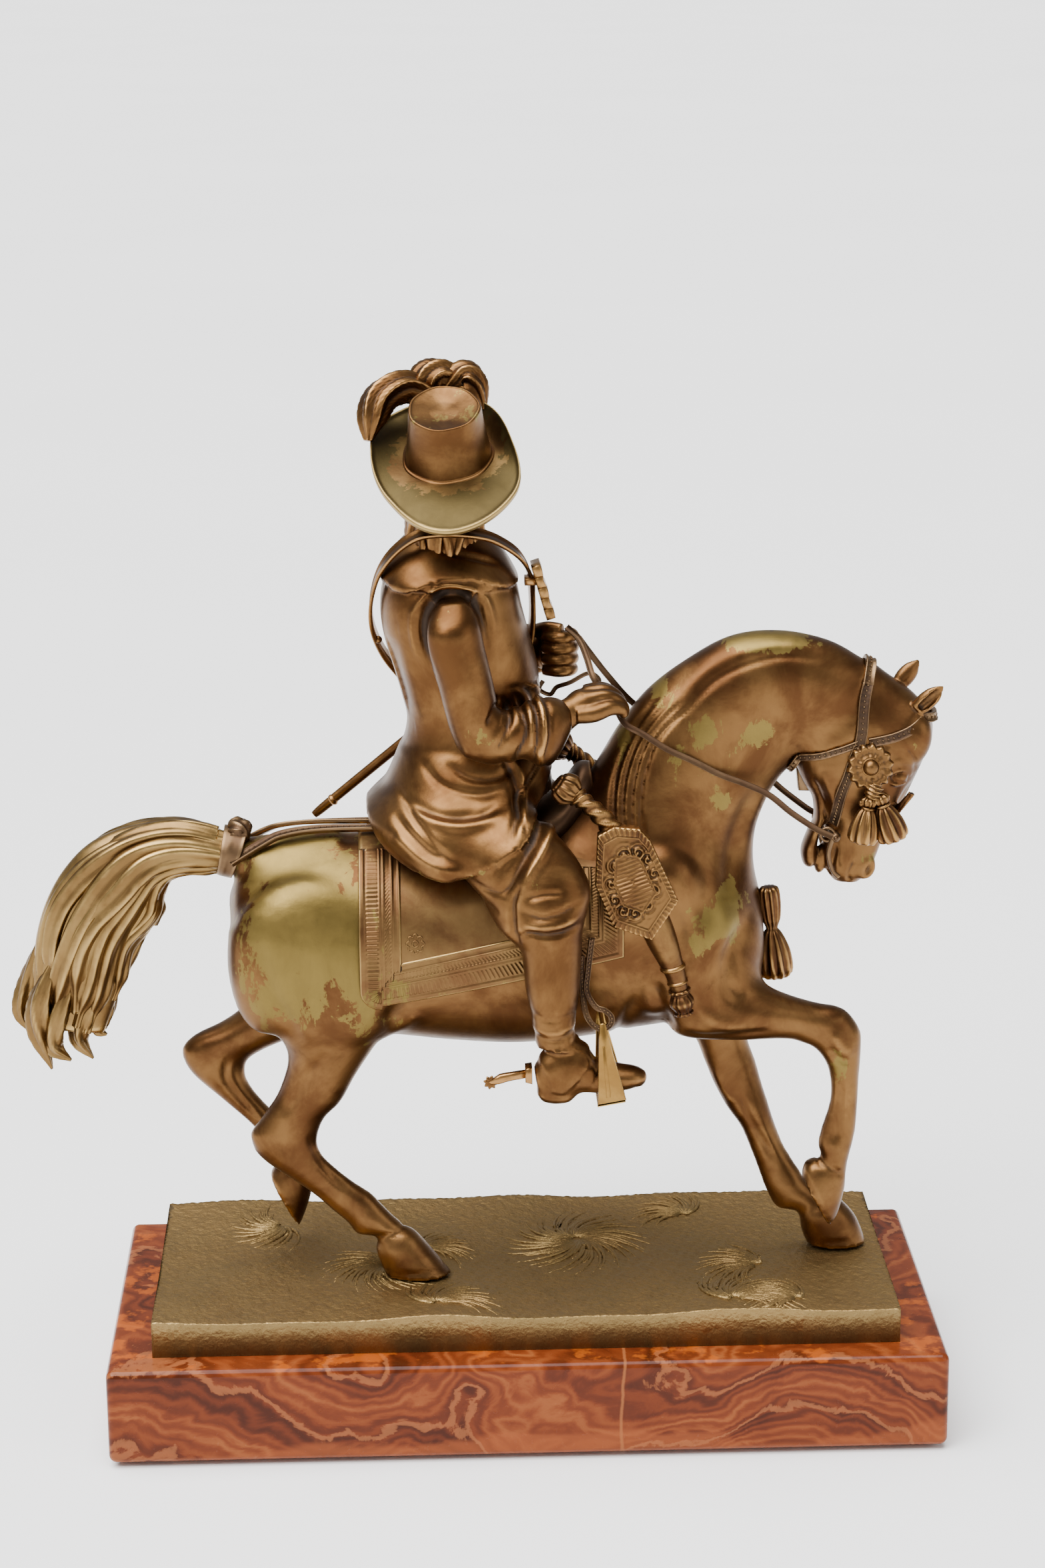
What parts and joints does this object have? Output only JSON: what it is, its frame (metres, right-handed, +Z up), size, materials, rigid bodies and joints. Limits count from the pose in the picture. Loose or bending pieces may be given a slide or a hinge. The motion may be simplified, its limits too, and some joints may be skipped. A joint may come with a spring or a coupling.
{
  "type": "equestrian statuette",
  "caption": "Bronze statuette of a hatted cavalier on a walking horse with holsters, baldric and sword, standing on a cast ground plate over a polished onyx plinth",
  "frame": {"origin": "middle of the overall box in plan, at the height of the felt pads' undersides", "axes": "+Z up, +X the way the horse faces, -Y the horse's and the rider's right side"},
  "size_m": [0.3554, 0.144, 0.4074],
  "materials": {
    "onyx": "polished red-orange banded onyx",
    "felt": "dark green felt",
    "ground_bronze": "olive-brown patinated bronze, stippled, brassy edges",
    "bronze": "warm brown patinated bronze with brassy worn places",
    "tail_bronze": "lighter brassy patinated bronze",
    "strap_bronze": "dark grey-brown patinated bronze",
    "gilt": "worn gilding"
  },
  "bodies": {
    "root": {"onyx_plinth": "onyx", "underside_baize": "felt", "felt_pad_1": "felt", "felt_pad_2": "felt", "felt_pad_3": "felt", "felt_pad_4": "felt", "ground_plate": "ground_bronze", "horse": "bronze", "tail": "tail_bronze", "crupper": "strap_bronze", "saddlecloth": "bronze", "saddle": "strap_bronze", "rider": "bronze", "baldric": "strap_bronze", "breast_ornament": "bronze", "sword": "bronze", "bit": "strap_bronze", "right_rein": "strap_bronze", "left_rein": "strap_bronze", "rein_loops": "strap_bronze", "breast_tassel": "gilt", "right_holster": "bronze", "left_holster": "bronze", "right_stirrup": "gilt", "left_stirrup": "gilt", "right_stirrup_strap": "strap_bronze", "left_stirrup_strap": "strap_bronze", "right_spur": "bronze", "left_spur": "bronze", "right_rosette": "bronze", "left_rosette": "bronze"}
  },
  "joints": []
}
